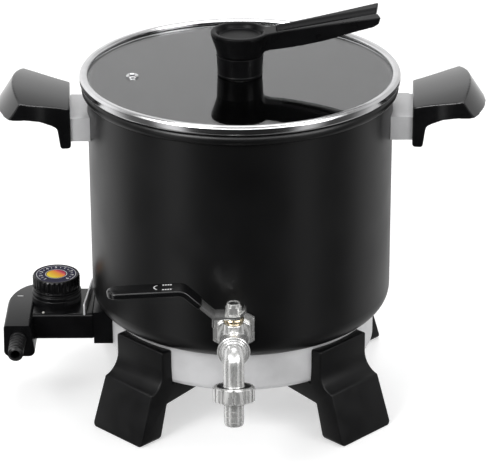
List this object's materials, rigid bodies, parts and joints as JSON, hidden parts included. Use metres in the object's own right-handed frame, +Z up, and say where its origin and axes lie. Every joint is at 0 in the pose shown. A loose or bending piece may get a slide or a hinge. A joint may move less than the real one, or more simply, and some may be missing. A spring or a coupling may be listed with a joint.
{
  "type": "candle wax melter",
  "caption": "Electric wax melting pot on a low base with angled feet, glass lid with a lift handle, drain tap with a lever, and a plug-in heat control with a dial.",
  "frame": {"origin": "the point on the table where the pot's upright axis meets it, between the four feet", "axes": "+Z up along the pot's axis; the drain tap faces -Y; the heat control is on the -X side, and the lid handle's arm points to +X"},
  "size_m": [0.4002, 0.334, 0.3338],
  "materials": {
    "pot_coating": "matt black non-stick enamel",
    "satin_aluminium": "satin brushed",
    "heater_sheath": "dull oxidised sheath",
    "bright_steel": "polished",
    "brushed_steel": "brushed",
    "nickel_plate": "nickel plated, satin",
    "gland_brass": "turned",
    "white_ceramic": "fired ceramic",
    "silicone": "soft matt",
    "black_rubber": "matt",
    "ptfe": "waxy",
    "foot_plastic": "satin moulded",
    "grip_plastic": "glossy moulded phenolic",
    "control_plastic": "fine satin gloss",
    "sleeve_vinyl": "dipped vinyl",
    "lid_glass": "tempered, grey tint",
    "dial_print": "printed disc",
    "lamp_lens": "clear lens"
  },
  "bodies": {
    "pot": {"pot_shell": "pot_coating", "heat_plate": "satin_aluminium", "heating_element": "heater_sheath", "probe_sleeve": "satin_aluminium", "terminal_pins": "bright_steel", "pin_insulator": "white_ceramic", "base_pan": "satin_aluminium", "centre_stud": "brushed_steel", "centre_nut": "brushed_steel", "socket_shroud": "control_plastic", "foot_front_left": "foot_plastic", "foot_front_right": "foot_plastic", "foot_back_left": "foot_plastic", "foot_back_right": "foot_plastic", "foot_screws": "brushed_steel", "foot_nuts": "brushed_steel", "bracket_left": "brushed_steel", "bracket_right": "brushed_steel", "bracket_rivets": "brushed_steel", "grip_left": "grip_plastic", "grip_right": "grip_plastic", "grip_screws": "brushed_steel", "tap_nipple": "nickel_plate", "outer_gasket": "silicone", "inner_gasket": "silicone", "inner_nut": "nickel_plate", "tap_body": "nickel_plate", "ball_seats": "ptfe", "stem_packing": "ptfe", "gland_nut": "gland_brass", "spout": "nickel_plate", "tail_washer": "black_rubber", "hose_tail": "nickel_plate"},
    "lid": {"lid_glass": "lid_glass", "lid_band": "bright_steel", "vent_eyelet": "bright_steel", "handle_post": "grip_plastic", "lid_handle": "grip_plastic", "handle_screw": "brushed_steel", "handle_washer": "silicone", "slot_pins": "bright_steel"},
    "lever": {"tap_ball": "bright_steel", "tap_stem": "nickel_plate", "tap_lever": "nickel_plate", "lever_sleeve": "sleeve_vinyl", "lever_nut": "nickel_plate"},
    "fluted_nut": {"hose_nut": "nickel_plate"},
    "control_head": {"control_upper_shell": "control_plastic", "control_lower_shell": "control_plastic", "control_screws": "brushed_steel", "thermostat": "satin_aluminium", "probe_tube": "bright_steel", "contact_tubes": "gland_brass", "pilot_lamp": "lamp_lens", "heat_shield": "satin_aluminium", "strain_relief": "black_rubber"},
    "dial": {"dial_knob": "control_plastic", "dial_disc": "dial_print", "dial_shaft": "brushed_steel"}
  },
  "joints": [
    {"name": "lid_lift", "type": "slide", "parent": "pot", "child": "lid", "axis": [0, 0, 1], "range_m": [0, 0.15]},
    {"name": "lever_turn", "type": "hinge", "parent": "pot", "child": "lever", "pos_m": [-0.006, -0.15208, 0.135], "axis": [0, 0, 1], "range_deg": [0, 90]},
    {"name": "hose_nut_turn", "type": "hinge", "parent": "pot", "child": "fluted_nut", "pos_m": [-0.006, -0.18605, 0.08283], "axis": [0, 0.2419, 0.9703], "continuous": true},
    {"name": "control_pull", "type": "slide", "parent": "pot", "child": "control_head", "axis": [-1, 0, 0], "range_m": [0, 0.08]},
    {"name": "dial_turn", "type": "hinge", "parent": "control_head", "child": "dial", "pos_m": [-0.156, 0, 0.09], "axis": [0, 0, 1], "range_deg": [-270, 0]}
  ]
}
